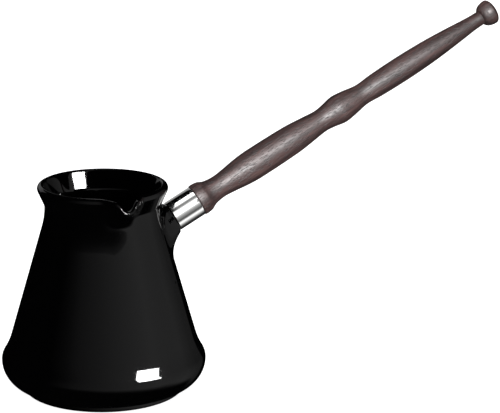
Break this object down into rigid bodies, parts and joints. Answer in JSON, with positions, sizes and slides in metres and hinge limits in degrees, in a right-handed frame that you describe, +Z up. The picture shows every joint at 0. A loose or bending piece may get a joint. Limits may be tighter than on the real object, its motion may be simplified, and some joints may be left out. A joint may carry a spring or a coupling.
{
  "type": "turkish coffee pot cezve",
  "caption": "Glazed ceramic coffee pot with a wide rounded base, a conical body, a pinched pouring lip and a long turned wooden handle that unscrews from a boss on the neck.",
  "frame": {"origin": "centre of the base, on the surface the pot stands on", "axes": "+Z up along the pot's axis, +X towards the handle, -Y towards the pouring lip"},
  "size_m": [0.3086, 0.12, 0.2182],
  "materials": {
    "black_glaze": "opaque black ceramic glaze, mirror gloss with a faint orange peel",
    "cement": "grey setting cement, matt and gritty",
    "brass": "turned brass",
    "red_fibre": "vulcanised fibre washer, matt",
    "polished_steel": "mirror polished stainless steel with fine lengthwise polishing streaks",
    "zinc_steel": "zinc plated steel, satin",
    "dark_wood": "dark brown stained hardwood, open pored, satin oil finish"
  },
  "bodies": {
    "pot": {"pot_body": "black_glaze", "bush_cement": "cement", "socket_bush": "brass", "heat_washer": "red_fibre"},
    "ferrule_ring": {"ferrule": "polished_steel"},
    "handle_unit": {"handle": "dark_wood", "handle_insert": "brass", "tie_stud": "zinc_steel", "lock_nut": "zinc_steel", "lock_washer": "zinc_steel"}
  },
  "joints": [
    {"name": "handle_draw", "type": "slide", "parent": "pot", "child": "ferrule_ring", "axis": [0.8755, 0, 0.4833], "range_m": [0, 0.006]},
    {"name": "handle_unscrew", "type": "hinge", "parent": "ferrule_ring", "child": "handle_unit", "pos_m": [0, 0, 0.0766], "axis": [0.8755, 0, 0.4833], "range_deg": [0, 2160]}
  ],
  "couplings": [
    {"joint": "handle_unscrew", "follows": "handle_draw", "rad_per_m": 6283.2}
  ]
}
